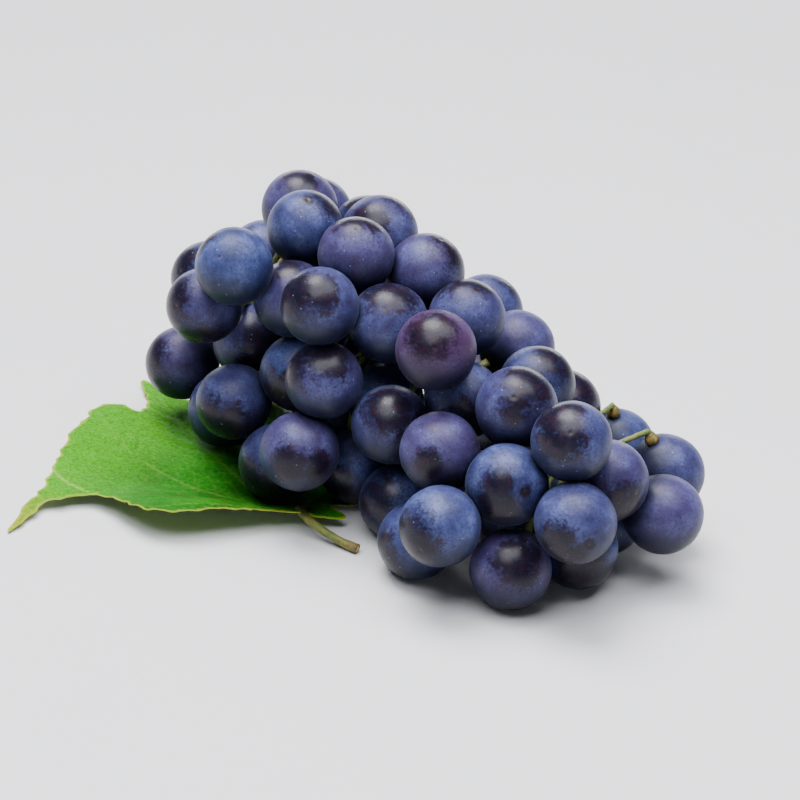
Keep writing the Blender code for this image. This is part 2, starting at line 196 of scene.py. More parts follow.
def addDaylight(look):
    data = bpy.data.lights.new("daylight", "SUN")
    data.angle = math.radians(look["spread"])
    data.energy = look["strength"]
    data.color = linear(look["colour"])[:3]
    made = bpy.data.objects.new("daylight", data)
    made.rotation_euler = Vector(look["way"]).to_track_quat("Z", "Y").to_euler()
    bpy.context.collection.objects.link(made)


board = {"side": 6.0, "unevenMm": 60, "pale": "#d3d3d1", "dull": "#cfcfcf"}   # side in metres
# the room by height, from level (0) to overhead (1): pale low walls round a darker room,
# which rim each berry with light
roomWalls = [(0.0, "#e8ecf5"), (0.12, "#d5dcea"), (0.22, "#1d2029"), (1.0, "#23262f")]


def addStudio():
    # a matt white painted board: pale, no gloss, a faint uneven coat
    paint = newMaterial("white_painted_board")
    tree = paint.node_tree
    place = addNode(tree, "TexCoord")
    uneven = addNode(tree, "TexNoise", {"Scale": perMetre(board["unevenMm"]), "Detail": 3.0},
                     {"Vector": place.outputs["Object"]})
    colour = addNode(tree, "Mix",
                     {"data_type": "RGBA", 6: linear(board["pale"]), 7: linear(board["dull"])},
                     {0: uneven.outputs["Fac"]})
    shader = addNode(tree, "BsdfPrincipled", {"Roughness": 0.7, "IOR": 1.45},
                     {"Base Color": colour.outputs[2]})
    addNode(tree, "OutputMaterial", None, {"Surface": shader.outputs[0]})
    half = board["side"] / 2
    corners = [(-half, -half, 0), (half, -half, 0), (half, half, 0), (-half, half, 0)]
    floor = meshObject("studioFloor", corners, [(0, 1, 2, 3)], paint)

    world = bpy.data.worlds.new("studioRoom")
    bpy.context.scene.world = world
    world.use_nodes = True
    world.node_tree.nodes.clear()
    room = world.node_tree
    look = addNode(room, "TexCoord")
    height = addNode(room, "SeparateXYZ", None, {0: look.outputs["Generated"]})
    walls = addNode(room, "ValToRGB", {"stops": roomWalls}, {"Fac": height.outputs["Z"]})
    sky = addNode(room, "Background", {"Strength": 1.0}, {"Color": walls.outputs["Color"]})
    addNode(room, "OutputWorld", None, {"Surface": sky.outputs[0]})

    for box in softboxes:
        addSoftbox(**box)
    addDaylight(daylight)


addCamera(camera)
addStudio()
print("camera, floor and lights set")


# ---- grape skin

skin = {
    "patchMm": 7.0,     # clouds in the thickness of the wax bloom
    "smudgeMm": 2.6,    # blurred smears at the edge of a rubbed patch
    "dotMm": 1.05,      # one small dark pore in each cell of this size
    "speckMm": 3.1,     # one pale speck now and then
    "pitMm": 0.75,      # thin places all over the bloom, coarse enough to show
    "grainMm": 0.35,    # fine grain of the wax, drawn coarse enough to show
    "breakUp": {"smudges": 1.3, "clouds": 1.5, "pits": 0.9},   # how far each frays a patch
    "bareFrom": 0.15,   # where the bloom starts to thin, and where it is gone
    "bareTo": 0.95,
    "bloom": [(0.3, "#20264a"), (0.5, "#353e68"), (0.72, "#535e90")],
    "thinBloom": "#12152a",
    "shade": "#0b0f1e",  # painted shade on the undersides and the inner faces of the bunch
    "unripe": "#4a2440",
    "bare": [(0.35, "#060408"), (0.52, "#110913"), (0.75, "#2a1421")],
    "pore": "#120f1e",
    "speck": "#a9aec6",
    "scar": "#2c1f1a",
    "bloomGloss": 0.31,  # roughness before the pits, on the bloom and where it is gone
    "bareGloss": 0.16,
    "pitGloss": 0.26,   # roughness that the pits add
}


def grapeSkin():
    # Ripe dark grape skin: purple-black and glossy, under a matt blue-grey wax bloom
    # that is whole in the hollows and rubbed away where a berry has been touched.
    material = newMaterial("bloomed_grape_skin")
    tree = material.node_tree
    place = addNode(tree, "TexCoord").outputs["Object"]
    rubbed, hue, scar, sheltered = [
        addNode(tree, "Attribute", {"attribute_name": name}).outputs["Fac"]
        for name in ("rubbed", "redness", "scar", "sheltered")]
    clouds = addNode(tree, "TexNoise",
                     {"Scale": perMetre(skin["patchMm"]), "Detail": 4.0, "Roughness": 0.6},
                     {"Vector": place}).outputs["Fac"]
    smudges = addNode(tree, "TexNoise",
                      {"Scale": perMetre(skin["smudgeMm"]), "Detail": 4.0, "Roughness": 0.6,
                       "Distortion": 0.4}, {"Vector": place}).outputs["Fac"]
    pits = addNode(tree, "TexNoise",
                   {"Scale": perMetre(skin["pitMm"]), "Detail": 3.0, "Roughness": 0.7},
                   {"Vector": place}).outputs["Fac"]
    grain = addNode(tree, "TexNoise",
                    {"Scale": perMetre(skin["grainMm"]), "Detail": 2.0}, {"Vector": place})

    # where the bloom is thin or gone: the touched patch, blurred and broken up
    edge = rubbed
    for name, pattern in (("smudges", smudges), ("clouds", clouds), ("pits", pits)):
        amount = skin["breakUp"][name]
        frayed = addNode(tree, "Math",
                         {"operation": "MULTIPLY_ADD", 1: amount, 2: -amount / 2}, {0: pattern})
        edge = addNode(tree, "Math", {"operation": "ADD"},
                       {0: edge, 1: frayed.outputs[0]}).outputs[0]
    bare = addNode(tree, "MapRange",
                   {"interpolation_type": "SMOOTHSTEP", "From Min": skin["bareFrom"],
                    "From Max": skin["bareTo"], "To Max": 0.95}, {"Value": edge}).outputs["Result"]

    bloom = addNode(tree, "ValToRGB", {"stops": skin["bloom"]}, {"Fac": clouds})
    colour = bloom.outputs["Color"]
    thin = addNode(tree, "MapRange", {"From Min": 0.48, "From Max": 0.66, "To Max": 0.42},
                   {"Value": pits}).outputs["Result"]
    # the last of these mixes paints shade onto the undersides, the inner faces and the pressed
    # sides
    for share, tint in ((thin, "thinBloom"), (hue, "unripe"), (sheltered, "shade")):
        colour = addNode(tree, "Mix", {"data_type": "RGBA", 7: linear(skin[tint])},
                         {0: share, 6: colour}).outputs[2]
    bareColour = addNode(tree, "ValToRGB", {"stops": skin["bare"]}, {"Fac": smudges})
    colour = addNode(tree, "Mix", {"data_type": "RGBA"},
                     {0: bare, 6: colour, 7: bareColour.outputs["Color"]}).outputs[2]

    # pores: small dark dots; specks: bits of thick wax that stayed on
    pores = addNode(tree, "TexVoronoi", {"Scale": perMetre(skin["dotMm"])}, {"Vector": place})
    pore = addNode(tree, "MapRange",
                   {"From Min": 0.1, "From Max": 0.22, "To Min": 0.6, "To Max": 0.0},
                   {"Value": pores.outputs["Distance"]}).outputs["Result"]
    specks = addNode(tree, "TexVoronoi", {"Scale": perMetre(skin["speckMm"])}, {"Vector": place})
    speck = addNode(tree, "MapRange",
                    {"From Min": 0.035, "From Max": 0.08, "To Min": 0.34, "To Max": 0.0},
                    {"Value": specks.outputs["Distance"]}).outputs["Result"]
    for share, tint in ((pore, "pore"), (speck, "speck"), (scar, "scar")):
        colour = addNode(tree, "Mix", {"data_type": "RGBA", 7: linear(skin[tint])},
                         {0: share, 6: colour}).outputs[2]

    gloss = addNode(tree, "Mix", {2: skin["bloomGloss"], 3: skin["bareGloss"]}, {0: bare})
    uneven = addNode(tree, "Math", {"operation": "MULTIPLY_ADD", 1: skin["pitGloss"]},
                     {0: pits, 2: gloss.outputs[0]})
    height = addNode(tree, "Math", {"operation": "MULTIPLY_ADD", 1: 2.5},
                     {0: pits, 2: grain.outputs["Fac"]})
    relief = addNode(tree, "Bump", {"Strength": 0.3, "Distance": mm(0.05)},
                     {"Height": height.outputs[0]})
    shader = addNode(tree, "BsdfPrincipled",
                     {"IOR": 1.37, "Specular IOR Level": 0.36, "Sheen Weight": 0.05,
                      "Sheen Roughness": 0.3, "Sheen Tint": linear("#c3cdf0")},
                     {"Base Color": colour, "Roughness": uneven.outputs[0],
                      "Normal": relief.outputs["Normal"]})
    addNode(tree, "OutputMaterial", None, {"Surface": shader.outputs[0]})
    return material


# ---- berries

berry = {
    "plump": 0.45,      # mm added to the plain solid's radius, so that neighbours touch
    "press": 0.05,      # mm left between two pressed skins
    "softEdge": 0.25,   # mm of rounding round a pressed flat
    "long": 1.025,      # length from stalk to tip, over the width
    "dimple": 0.55,     # mm deep, where the stalk goes in
    "dimpleReach": 0.2,  # radians from the stalk
    "lip": (0.12, 0.42, 0.14),    # ring round the dimple: mm high, radians off, radians wide
    "tipDent": (0.12, 0.06),      # at the far end: mm deep, radians wide
    "lump": 0.013,      # share of the radius
    "lumpScales": (1.3, 3.1),     # broad and fine lumps over a ball of radius one
    "fineLump": 0.35,   # size of the fine lumps, over the broad ones
    "sides": 60,
    "rings": 44,
    "endCrowding": 0.13,  # draws the rings toward both ends
    "scarMm": 0.55,     # radius of the dry dot where the flower's style was
    "floorGap": 0.03,   # mm kept above the surface
    "patchCounts": [1, 1, 1, 2, 2, 3],   # rubbed patches on a berry, drawn by lot
    "touched": (0.55, 1.15),      # smallest and largest rubbed patch, radians
    "patchFade": (1.3, 0.25),     # a patch fades out and is full at these shares of its size
    "pressedKeeps": 0.8,    # how much of the bloom stays where two berries press
    "patchScatter": 0.5,  # how far a patch strays from the outward side
    "tipPatch": (0.2, 0.24),      # chance of a patch opposite the stalk, and its radians
    "outwardPull": (0, -0.15, 0.35),   # the open side looks a little to the front and up
    "redness": (0.1, 0.12, 0.3),  # mean, spread and most
    "ruddy": {"berry_35": 0.6},   # less ripe than the rest, so redder
    "stalkReach": 1.2,  # mm of stem, beyond its nearest point, that set a stalk's direction
}
rowCounts = {"back_row_shoulder": 3, "back_row_tail": 3, "base_row_shoulder": 3,
             "base_row_middle": 3, "base_row_tail": 2, "core_row_shoulder": 4}
rowStep = 0.91      # between the berries of a row, over their width: they are pressed together
rowRounds = 12      # of fitting


def fitBall(points):
    table = np.c_[2 * points, np.ones(len(points))]
    answer = np.linalg.lstsq(table, (points ** 2).sum(1), rcond=None)[0]
    return answer[:3], math.sqrt(answer[3] + answer[:3] @ answer[:3])


def ballsIn(points, count):
    # the berries of a row that is one solid: each ball is fitted to the corners nearest to it
    middle = points.mean(0)
    axis = np.linalg.svd(points - middle, full_matrices=False)[2][0]
    along = (points - middle) @ axis
    radius = (along.max() - along.min()) / (2 + 2 * rowStep * (count - 1))
    steps = np.linspace(along.min() + radius, along.max() - radius, count)
    balls = [(middle + axis * step, radius) for step in steps]
    for turn in range(rowRounds):
        gaps = np.array([np.linalg.norm(points - centre, axis=1) for centre, size in balls])
        near = gaps.argmin(0)
        balls = [fitBall(points[near == i]) for i in range(count)]
    return balls


def allBerries():
    found = []
    for name in sorted(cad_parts):
        if name.startswith("berry_"):
            centre, radius = fitBall(cornersOf(name))
            found.append({"piece": name.replace("berry", "grape"), "node": name, "centre": centre,
                          "radius": radius})
        elif name in rowCounts:
            for i, (centre, radius) in enumerate(ballsIn(cornersOf(name), rowCounts[name])):
                found.append({"piece": f"grape_{name}_{i + 1}", "node": name, "centre": centre,
                              "radius": radius})
    return found


def aimStalks(found, stemPoints):
    # a stalk meets its berry where the stem comes nearest to the skin
    for one in found:
        away = stemPoints - one["centre"]
        gap = np.linalg.norm(away, axis=1)
        near = away[gap < gap.min() + mm(berry["stalkReach"])]
        one["stalk"] = unit(near.mean(0))


def skinDirections():
    # rings from the stalk end to the tip, closer together at both ends
    count = berry["rings"]
    turns = np.linspace(0, 1, count + 1)[1:-1]
    angles = math.pi * (turns - berry["endCrowding"] * np.sin(2 * math.pi * turns))
    sides = np.arange(berry["sides"]) / berry["sides"] * 2 * math.pi
    rows = [np.stack([np.sin(a) * np.cos(sides), np.sin(a) * np.sin(sides),
                      np.full(len(sides), np.cos(a))], 1) for a in angles]
    points = np.concatenate([[(0, 0, 1)], *rows, [(0, 0, -1)]])
    faces = []
    n = berry["sides"]
    last = 1 + (len(angles) - 1) * n
    for k in range(n):
        follow = (k + 1) % n
        faces.append((0, 1 + k, 1 + follow))
        faces.append((last + follow, last + k, len(points) - 1))
        for ring in range(len(angles) - 1):
            a = 1 + ring * n
            faces.append((a + k, a + n + k, a + n + follow, a + follow))
    return points, faces


def turnTo(axis):
    return np.array(Vector((0, 0, 1)).rotation_difference(Vector(axis)).to_matrix())


def shapeBerry(one, directions, neighbours, rng):
    # radius by direction: long axis, lumps, dimple at the stalk, small dent at the tip
    fromStalk = np.arccos(np.clip(directions[:, 2], -1, 1))
    fromTip = math.pi - fromStalk
    radius = one["radius"] + mm(berry["plump"])
    seed = Vector((rng.uniform(0, 50), rng.uniform(0, 50), rng.uniform(0, 50)))
    broad, fine = berry["lumpScales"]
    lumps = np.array([noise.noise(Vector(d) * broad + seed)
                      + berry["fineLump"] * noise.noise(Vector(d) * fine + seed)
                      for d in directions])
    length = np.where(directions[:, 2] > 0, berry["long"], 1.0)
    out = radius * (1 + berry["lump"] * (lumps - 0.3))   # hollows go deeper than lumps rise
    shape = directions * out[:, None]
    shape[:, 2] *= length
    lipHigh, lipAt, lipWide = berry["lip"]
    dentDeep, dentWide = berry["tipDent"]
    inward = mm(berry["dimple"]) * np.exp(-(fromStalk / berry["dimpleReach"]) ** 2)
    inward -= mm(lipHigh) * np.exp(-((fromStalk - lipAt) / lipWide) ** 2)
    inward += mm(dentDeep) * np.exp(-(fromTip / dentWide) ** 2)
    shape -= directions * inward[:, None]
    turned = shape @ turnTo(one["stalk"]).T
    world = turned + one["centre"]
    # press flat against each neighbour, with a soft edge round the flat
    pressed = np.zeros(len(world))
    soft = mm(berry["softEdge"])
    for centre, size in neighbours:
        between = centre - one["centre"]
        gap = np.linalg.norm(between)
        way = between / gap
        limit = gap * radius / (radius + size) - mm(berry["press"]) / 2
        over = (world - one["centre"]) @ way - limit
        push = np.where(over > -soft, (over + soft) ** 2 / (4 * soft), 0)
        push = np.where(over > soft, over, push)
        world = world - push[:, None] * way
        pressed = np.maximum(pressed, smoothStep(-mm(1.2), mm(0.1), over))
    world[:, 2] = np.maximum(world[:, 2], mm(berry["floorGap"]))
    return world, turned / np.linalg.norm(turned, axis=1)[:, None], fromTip, pressed


def rubbedPatches(one, facing, pressed, rng):
    # fingers and leaves touch the faces that look outwards
    spots = []
    for k in range(rng.choice(berry["patchCounts"])):
        jitter = np.array([rng.gauss(0, berry["patchScatter"]) for c in range(3)])
        spots.append((unit(one["outward"] + jitter), rng.uniform(*berry["touched"])))
    chance, size = berry["tipPatch"]
    if rng.random() < chance:
        spots.append((-one["stalk"], size))
    fade, full = berry["patchFade"]
    value = np.zeros(len(facing))
    for way, size in spots:
        angle = np.arccos(np.clip(facing @ way, -1, 1))
        value = np.maximum(value, smoothStep(size * fade, size * full, angle))
    return value * (1 - berry["pressedKeeps"] * pressed)


# painted shade on the berries, by how far a face looks down, inward or against a neighbour
# 1 faces straight up or out, and -1 straight down or in
paintedShadeReach = {"under": (0.4, -0.5), "inside": (0.1, -0.7), "pressed": 0.8, "most": 0.92}


def paintedShadeBySide(one, facing, pressed):
    # painted shade: the skin is darkened where a berry faces down, into the bunch or against a
    # pressed neighbour
    under = smoothStep(*paintedShadeReach["under"], facing[:, 2])
    inside = smoothStep(*paintedShadeReach["inside"], facing @ one["outward"])
    return paintedShadeReach["most"] * np.maximum(np.maximum(under, inside), paintedShadeReach["pressed"] * pressed)


def growBerries():
    material = grapeSkin()
    rng = random.Random(5)
    berries = allBerries()
    stemPoints = cornersOf("stem")
    aimStalks(berries, stemPoints)
    axisPoint = stemPoints.mean(0)
    directions, faces = skinDirections()
    plump = mm(berry["plump"])
    for one in berries:
        away = one["centre"] - axisPoint
        away[0] *= 0.25    # the bunch is long in x, so outward is mostly across it
        one["outward"] = unit(unit(away) + np.array(berry["outwardPull"]))
    for one in berries:
        neighbours = [(other["centre"], other["radius"] + plump) for other in berries
                      if other is not one and np.linalg.norm(other["centre"] - one["centre"])
                      < one["radius"] + other["radius"] + 4 * plump]
        world, facing, fromTip, pressed = shapeBerry(one, directions, neighbours, rng)
        rubbed = rubbedPatches(one, facing, pressed, rng)
        scarReach = mm(berry["scarMm"]) / one["radius"]   # radians
        scar = smoothStep(scarReach, 0.3 * scarReach, fromTip)
        usual, spread, most = berry["redness"]
        redness = max(0.0, min(most, rng.gauss(usual, spread)))
        redness = berry["ruddy"].get(one["node"], redness)
        piece = meshObject(one["piece"], world, faces, material,
                           {"rubbed": rubbed, "scar": scar, "redness": np.full(len(world), redness),
                            "sheltered": paintedShadeBySide(one, facing, pressed)})
        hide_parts(one["node"])
        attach(piece, "root")
    return berries


berries = growBerries()
print("berries grown:", len(berries))


# ---- stem

stem = {
    "voxelMm": 0.5,
    "smooth": 5,        # rounds of smoothing
    "barkMm": 2.2,      # length of the ridges on the woody part
    "lenticelMm": 1.6,  # one brown pore in each cell of this size
    "grainMm": 0.5,     # roughness of the bark
    "fibreMm": 0.4,     # fibres on a cut face, drawn coarse enough to show
    "swell": (3.5, 0.16),  # broad lumps and fine ridges: mm long, mm high
    "ridge": (1.1, 0.09),
    "thicken": 0.16,    # mm added all over, to make up for the smoothing
    "woodFrom": 45,     # mm from the cut, where the brown starts and where it is full
    "woodFull": 6,
    "cutMm": 5.9,       # across the cut face
    "domeMm": 0.25,     # rise of a cut face in its middle
    "cutSkirt": 0.5,    # mm that a cut face turns down at its edge
    "endMm": 7,         # corners this near the farthest one belong to the cut end
    "beforeMm": (9, 16.5),  # and these, farther back, give its direction
}


def grapeStalkWood():
    # Grape stalk: green and sappy by the berries, brown and corky toward the cut end.
    material = newMaterial("green_grape_stalk")
    tree = material.node_tree
    place = addNode(tree, "TexCoord").outputs["Object"]
    woody = addNode(tree, "Attribute", {"attribute_name": "woody"}).outputs["Fac"]
    ridges = addNode(tree, "TexNoise",
                     {"Scale": perMetre(stem["barkMm"]), "Detail": 6.0, "Roughness": 0.65},
                     {"Vector": place})
    fine = addNode(tree, "TexNoise", {"Scale": perMetre(stem["grainMm"]), "Detail": 3.0},
                   {"Vector": place})
    green = addNode(tree, "ValToRGB",
                    {"stops": [(0.3, "#3a4a1c"), (0.55, "#5f6b2a"), (0.75, "#7d6f35")]},
                    {"Fac": ridges.outputs["Fac"]})
    brown = addNode(tree, "ValToRGB",
                    {"stops": [(0.3, "#3d2c17"), (0.55, "#77592a"), (0.75, "#a98d4c")]},
                    {"Fac": ridges.outputs["Fac"]})
    blotch = addNode(tree, "Math", {"operation": "MULTIPLY_ADD", 1: 0.9, 2: -0.45},
                     {0: ridges.outputs["Fac"]})
    share = addNode(tree, "Math", {"operation": "ADD", "use_clamp": True},
                    {0: woody, 1: blotch.outputs[0]})
    colour = addNode(tree, "Mix", {"data_type": "RGBA"},
                     {0: share.outputs[0], 6: green.outputs["Color"], 7: brown.outputs["Color"]})
    lenticels = addNode(tree, "TexVoronoi", {"Scale": perMetre(stem["lenticelMm"])},
                        {"Vector": place})
    lenticel = addNode(tree, "MapRange",
                       {"From Min": 0.1, "From Max": 0.2, "To Min": 0.6, "To Max": 0.0},
                       {"Value": lenticels.outputs["Distance"]})
    colour = addNode(tree, "Mix", {"data_type": "RGBA", 7: linear("#3b2a18")},
                     {0: lenticel.outputs["Result"], 6: colour.outputs[2]})
    relief = addNode(tree, "Bump", {"Strength": 0.5, "Distance": mm(0.15)},
                     {"Height": fine.outputs["Fac"]})
    shader = addNode(tree, "BsdfPrincipled", {"IOR": 1.45, "Roughness": 0.6},
                     {"Base Color": colour.outputs[2], "Normal": relief.outputs["Normal"]})
    addNode(tree, "OutputMaterial", None, {"Surface": shader.outputs[0]})
    return material


def cutWood():
    # Freshly cut stalk: pale fibrous pith with a darker ring of bark, drying to tan.
    material = newMaterial("cut_stalk_pith")
    tree = material.node_tree
    place = addNode(tree, "TexCoord").outputs["Object"]
    across = addNode(tree, "Attribute", {"attribute_name": "across"}).outputs["Fac"]
    fibres = addNode(tree, "TexNoise", {"Scale": perMetre(stem["fibreMm"]), "Detail": 4.0},
                     {"Vector": place})
    wander = addNode(tree, "Math", {"operation": "MULTIPLY_ADD", 1: 0.25},
                     {0: fibres.outputs["Fac"], 2: across})
    colour = addNode(tree, "ValToRGB",
                     {"stops": [(0.1, "#b39b6c"), (0.45, "#cdbb88"), (0.8, "#a98f58"),
                                (1.0, "#5a4125")]},
                     {"Fac": wander.outputs[0]})
    relief = addNode(tree, "Bump", {"Strength": 0.6, "Distance": mm(0.12)},
                     {"Height": fibres.outputs["Fac"]})
    shader = addNode(tree, "BsdfPrincipled", {"IOR": 1.45, "Roughness": 0.8},
                     {"Base Color": colour.outputs["Color"], "Normal": relief.outputs["Normal"]})
    addNode(tree, "OutputMaterial", None, {"Surface": shader.outputs[0]})
    return material


def rounded(name, node, voxelMm, smooth):
    # a copy of a plain solid with its facets rounded off
    helper = bpy.data.objects.new(name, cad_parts[node].data.copy())
    bpy.context.collection.objects.link(helper)
    remesh = helper.modifiers.new("remesh", "REMESH")
    remesh.mode = "VOXEL"
    remesh.voxel_size = mm(voxelMm)
    soften = helper.modifiers.new("soften", "SMOOTH")
    soften.factor = 0.5
    soften.iterations = smooth
    graph = bpy.context.evaluated_depsgraph_get()
    data = bpy.data.meshes.new_from_object(helper.evaluated_get(graph))
    bpy.data.objects.remove(helper)
    faces = [tuple(p.vertices) for p in data.polygons]
    return vectorsOf(data, "co"), vectorsOf(data, "normal"), faces


def growStem(wood, pith):
    points, normals, faces = rounded("stemHelper", "stem", stem["voxelMm"], stem["smooth"])
    plain = cornersOf("stem")
    # the cut end is the corner farthest from the middle, with those round it
    farthest = plain[np.linalg.norm(plain - plain.mean(0), axis=1).argmax()]
    ring = plain[np.linalg.norm(plain - farthest, axis=1) < mm(stem["endMm"])]
    end = np.unique(np.round(ring, 6), axis=0).mean(0)
    gap = np.linalg.norm(plain - end, axis=1)
    near, far = [mm(size) for size in stem["beforeMm"]]
    before = plain[(gap > near) & (gap < far)]
    way = unit(end - np.unique(np.round(before, 6), axis=0).mean(0))
    fromCut = np.linalg.norm(points - end, axis=1)
    woody = smoothStep(mm(stem["woodFrom"]), mm(stem["woodFull"]), fromCut)
    rise = np.full(len(points), mm(stem["thicken"]))
    for long, high in (stem["swell"], stem["ridge"]):
        rise += mm(high) * np.array([noise.noise(Vector(p) * perMetre(long)) for p in points])
    piece = meshObject("bunchStem", points + normals * rise[:, None], faces, wood, {"woody": woody})
    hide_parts("stem")
    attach(piece, "root")
    growCollars(wood)
    cutDisc("stemCut", end + way * mm(0.3), way, mm(stem["cutMm"]) / 2, pith, "stem")


collar = {
    "wide": 3.9,        # mm across the swollen collar
    "tall": 2.9,
    "sunk": 0.35,       # mm into the berry
    "knob": 1.35,       # the stalks that stand up have larger collars
    "knobRise": 0.8,    # how upright such a stalk is, with 1 straight up
    "wartMm": 0.9,      # from wart to wart
    "wartHigh": 0.32,
    "greenPart": 0.35,  # how woody the collar is, and how much more its warts are
    "wartPart": 0.55,
    "sides": 18,
    "rings": 9,
}


def growCollars(wood):
    # warty collars, one where each stalk meets its berry
    sides, rings = collar["sides"], collar["rings"]
    points, faces, woody = [], [], []
    for one in berries:
        turn = turnTo(one["stalk"])
        size = collar["knob"] if one["stalk"][2] > collar["knobRise"] else 1.0
        base = one["centre"] + one["stalk"] * (one["radius"] - mm(collar["sunk"]))
        start = len(points)
        for ring in range(rings):
            up = ring / (rings - 1)
            # bulges low down, then draws in to the stalk
            bulge = math.sin(min(up * 1.6 + 0.45, 1.5)) * (1 - 0.62 * up ** 1.6)
            wide = size * mm(collar["wide"]) / 2 * bulge
            for k in range(sides):
                angle = 2 * math.pi * k / sides
                spot = np.array([math.cos(angle) * wide, math.sin(angle) * wide,
                                 mm(collar["tall"]) * up * size])
                world = base + turn @ spot
                wart = noise.noise(Vector(world) * perMetre(collar["wartMm"]))
                outward = turn @ unit(np.array([spot[0], spot[1], mm(0.4)]))
                points.append(world + outward * mm(collar["wartHigh"]) * max(wart, -0.2))
                woody.append(collar["greenPart"] + collar["wartPart"] * (wart > 0.0))
        faces += tubeFaces(start, rings, sides)
    collars = meshObject("berryCollars", points, faces, wood, {"woody": woody})
    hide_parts("stem")
    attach(collars, "root")


def cutDisc(name, centre, way, radius, material, node):
    # the cut end of a stalk: a low disc, rough and a little domed
    turn = turnTo(way)
    rings, sides = 9, 28
    dome = mm(stem["domeMm"])
    points, across = [centre + way * dome], [0.0]
    for ring in range(1, rings + 1):
        share = ring / rings
        skirt = mm(stem["cutSkirt"]) if ring == rings else 0
        for angle in np.arange(sides) / sides * 2 * math.pi:
            x, y = math.cos(angle), math.sin(angle)
            ragged = 1 + 0.06 * noise.noise(Vector((3 * x, 3 * y, 5)))
            flat = np.array([x, y, 0]) * radius * share * ragged
            rough = mm(0.06) * noise.noise(Vector(flat) * perMetre(0.5))
            flat[2] = dome * (1 - share ** 2) + rough - skirt
            points.append(centre + turn @ flat)
            across.append(share)
    faces = [(0, 1 + c, 1 + (c + 1) % sides) for c in range(sides)]
    for ring in range(rings - 1):
        a = 1 + ring * sides
        faces += [(a + c, a + sides + c, a + sides + (c + 1) % sides, a + (c + 1) % sides)
                  for c in range(sides)]
    last = 1 + (rings - 1) * sides
    faces.append(tuple(last + c for c in reversed(range(sides))))
    disc = meshObject(name, points, faces, material, {"across": across})
    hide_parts(node)
    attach(disc, "root")


stalkWood = grapeStalkWood()
stalkPith = cutWood()
growStem(stalkWood, stalkPith)
print("stem grown")


# ---- vine leaf

leaf = {
    "middle": (0.52, 0.524),   # the outline's own zero, as shares of the leaf's box
    "gridMm": 0.95,     # between points inside the blade
    "edgeMm": 0.5,      # between points along the edge
    "thickMm": 0.42,
    "rimMm": 0.5,       # width of the pale edge
    "quiltMm": 0.5,     # rise of the blade between veins
    "evenings": 26,     # rounds that even out the plain solid's facets
    "cloudMm": 20,      # patches of deeper and lighter green
    "netMm": 2.0,       # mesh of the finest veins
    "mottleMm": 0.9,    # soft hairs and pits, seen as speckle
    "freckle": 0.6,     # most that the dark mottle covers
    "grey": 0.8,        # how far the underside pales
    "crinkle": (3.2, 0.12),    # mm from crease to crease, mm high
    "wave": (24, 1.0),
    "berryGap": 0.1,    # mm between the blade and a berry that lies on it
    "lighterFrom": 38,    # mm from the petiole, where the blade starts to turn lighter
    "lighterFull": 74,
    "tipFrom": 26,      # mm from the tip of the front lobe, where it yellows
    "tipFull": 6,
}
petiole = {
    "wide": 2.4,        # mm across, before it swells at both ends
    "cutSwell": 0.2,    # share that it gains at the cut end, and at the blade
    "bladeSwell": 0.25,
    "groove": 0.14,     # depth of the groove along its top, over the radius
    "route": [(33, -1, 5.0), (38, -4, 4.9), (43, -4, 3.8), (49, -3, 2.0), (55, -2, 1.5)],
    "sides": 20,
    "stepMm": 0.6,
}
# the outline in mm, anticlockwise from the tip of the long front lobe
leafEdge = [(-20, -64), (-20.5, -57), (-22, -50), (-22.5, -45), (-19, -42), (-17, -37),
            (-12, -34.5), (-3, -36), (6, -37.5), (12, -35.5), (17, -31), (20.5, -25.5), (25, -18),
            (28.5, -11), (34, -4), (39.5, 1), (45.5, 7), (36, 8), (35, 13), (40, 19), (38, 31),
            (25, 30), (17, 37), (14, 46), (3, 57), (-5, 49), (-15, 49), (-29, 51), (-33, 43),
            (-35, 35), (-43, 28.5), (-51, 31), (-58, 31.5), (-54, 27), (-46, 22), (-41, 15),
            (-42, 11), (-49, 11), (-51, 3), (-47, -4), (-45, -13), (-40, -21), (-36, -29),
            (-31, -36), (-27, -43.5), (-26.5, -50), (-22.5, -58)]
# main veins, all from the petiole but the last, which is the pale fold on the front lobe
leafVeins = [[(35, -3), (10, -15), (-10, -28), (-20, -41), (-25, -49), (-21, -62)],
             [(35, -3), (2, -8), (-28, -8), (-49, 2)],
             [(35, -3), (6, 5), (-24, 17), (-56, 30)],
             [(35, -3), (16, 13), (-8, 32), (-28, 49)],
             [(35, -3), (23, 18), (11, 38), (4, 55)],
             [(35, -3), (37, 10), (38, 22), (38, 29)],
             [(35, -3), (29, -10), (17, -23), (7, -36)],
             [(35, -3), (39, 1), (45, 7)],
             [(-35, -31), (-28, -34), (-20, -35.5), (-13, -34)]]


